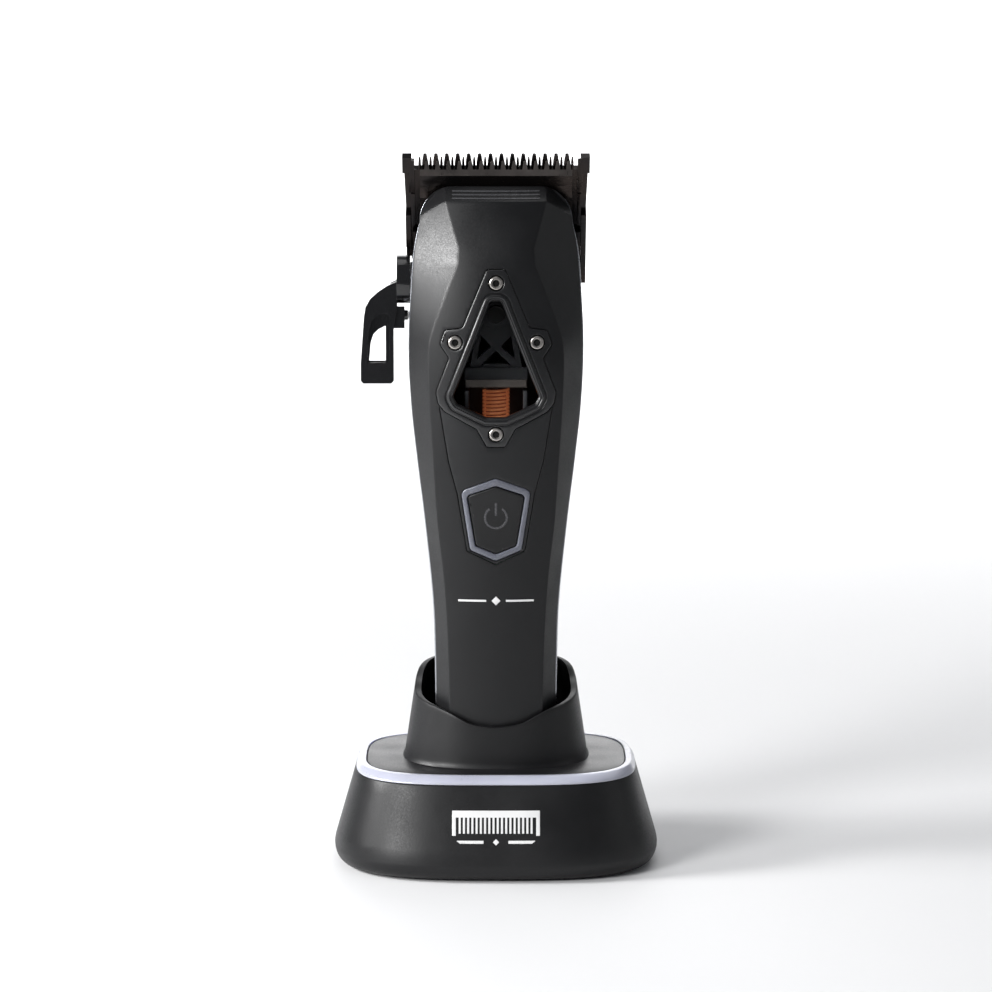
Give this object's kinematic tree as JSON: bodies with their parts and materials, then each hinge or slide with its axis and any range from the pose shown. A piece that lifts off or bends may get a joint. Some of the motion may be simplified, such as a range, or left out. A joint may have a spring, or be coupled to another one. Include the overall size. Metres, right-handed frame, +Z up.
{
  "type": "hair clipper",
  "caption": "Cordless hair clipper with a taper lever and a viewing window, standing in its charging base.",
  "frame": {"origin": "centre of the charging stand's footprint, on the surface it stands on", "axes": "+Z up along the clipper, -Y towards the front face with the window and button, +X to the right seen from the front"},
  "size_m": [0.08, 0.0656, 0.1743],
  "materials": {
    "shell_black": "fine matte texture",
    "stand_black": "fine matte texture",
    "bezel_black": "satin",
    "silver_trim": "satin chrome",
    "frosted_white": "frosted translucent",
    "clear_lens": "clear polished",
    "steel": "brushed",
    "blade_black": "glossy black hard coating",
    "lever_black": "gloss black",
    "inner_black": "matte",
    "inner_white": "matte",
    "copper": "enamelled copper wire",
    "gold": "gold plated",
    "board_green": "solder mask",
    "cell_wrap": "heat-shrink wrap",
    "rubber_black": "matte"
  },
  "bodies": {
    "stand": {"base_skirt": "stand_black", "base_plate": "stand_black", "rubber_feet": "rubber_black", "base_screws": "steel", "ballast_plate": "steel", "light_ring": "frosted_white", "ring_leds": "frosted_white", "top_deck": "stand_black", "charging_cup": "stand_black", "charging_block": "inner_black", "charging_board": "board_green", "power_inlet": "steel", "inlet_board": "board_green"},
    "left_pin": {"charging_pin_left": "gold"},
    "right_pin": {"charging_pin_right": "gold"},
    "clipper": {"front_shell": "shell_black", "rear_shell": "shell_black", "side_trim": "silver_trim", "centre_panel": "bezel_black", "window_bezel": "bezel_black", "window_lens": "clear_lens", "bezel_screws": "steel", "button_light_ring": "frosted_white", "power_switch": "inner_black", "circuit_board": "board_green", "battery_cell": "cell_wrap", "battery_cradle": "inner_black", "bottom_cap": "shell_black", "charging_pads": "gold", "housing_screws": "steel", "motor_frame": "inner_black", "stator_yoke": "steel", "coil_bobbin": "inner_black", "coil_winding": "copper", "pivot_pin": "steel", "lever_washer": "steel"},
    "button": {"power_button": "bezel_black"},
    "swing_arm": {"swing_arm": "inner_black", "armature_magnet": "steel", "drive_finger": "inner_white"},
    "cutter": {"cutter": "blade_black", "cutter_yoke": "inner_white"},
    "blade_set": {"fixed_blade": "blade_black", "blade_carrier": "blade_black", "blade_screws": "steel", "tension_spring": "steel"},
    "lever": {"taper_lever": "lever_black", "taper_camshaft": "steel", "lever_screw": "steel", "detent_screw": "lever_black", "detent_ball": "steel"}
  },
  "joints": [
    {"name": "clipper_lift", "type": "slide", "parent": "stand", "child": "clipper", "axis": [0, 0, 1], "range_m": [0, 0.12]},
    {"name": "left_pin_press", "type": "slide", "parent": "stand", "child": "left_pin", "axis": [0, 0, -1], "range_m": [0, 0.0012], "stiffness_N_per_m": 300},
    {"name": "right_pin_press", "type": "slide", "parent": "stand", "child": "right_pin", "axis": [0, 0, -1], "range_m": [0, 0.0012], "stiffness_N_per_m": 300},
    {"name": "button_press", "type": "slide", "parent": "clipper", "child": "button", "axis": [0, 1, 0], "range_m": [0, 0.0006], "stiffness_N_per_m": 800},
    {"name": "lever_turn", "type": "hinge", "parent": "clipper", "child": "lever", "pos_m": [-0.0209, 0.005, 0.143], "axis": [-1, 0, 0], "range_deg": [0, 60]},
    {"name": "blade_slide", "type": "slide", "parent": "clipper", "child": "blade_set", "axis": [0, 0.4848, -0.8746], "range_m": [0, 0.0015]},
    {"name": "arm_swing", "type": "hinge", "parent": "clipper", "child": "swing_arm", "pos_m": [0, -0.0075, 0.1357], "axis": [0, 1, 0], "range_deg": [-2.8, 2.8], "stiffness_Nm_per_rad": 0.05},
    {"name": "cutter_slide", "type": "slide", "parent": "clipper", "child": "cutter", "axis": [1, 0, 0], "range_m": [-0.0012, 0.0012]}
  ],
  "couplings": [
    {"joint": "blade_slide", "follows": "lever_turn", "m_per_rad": 0.0014324},
    {"joint": "cutter_slide", "follows": "arm_swing", "m_per_rad": 0.024}
  ]
}
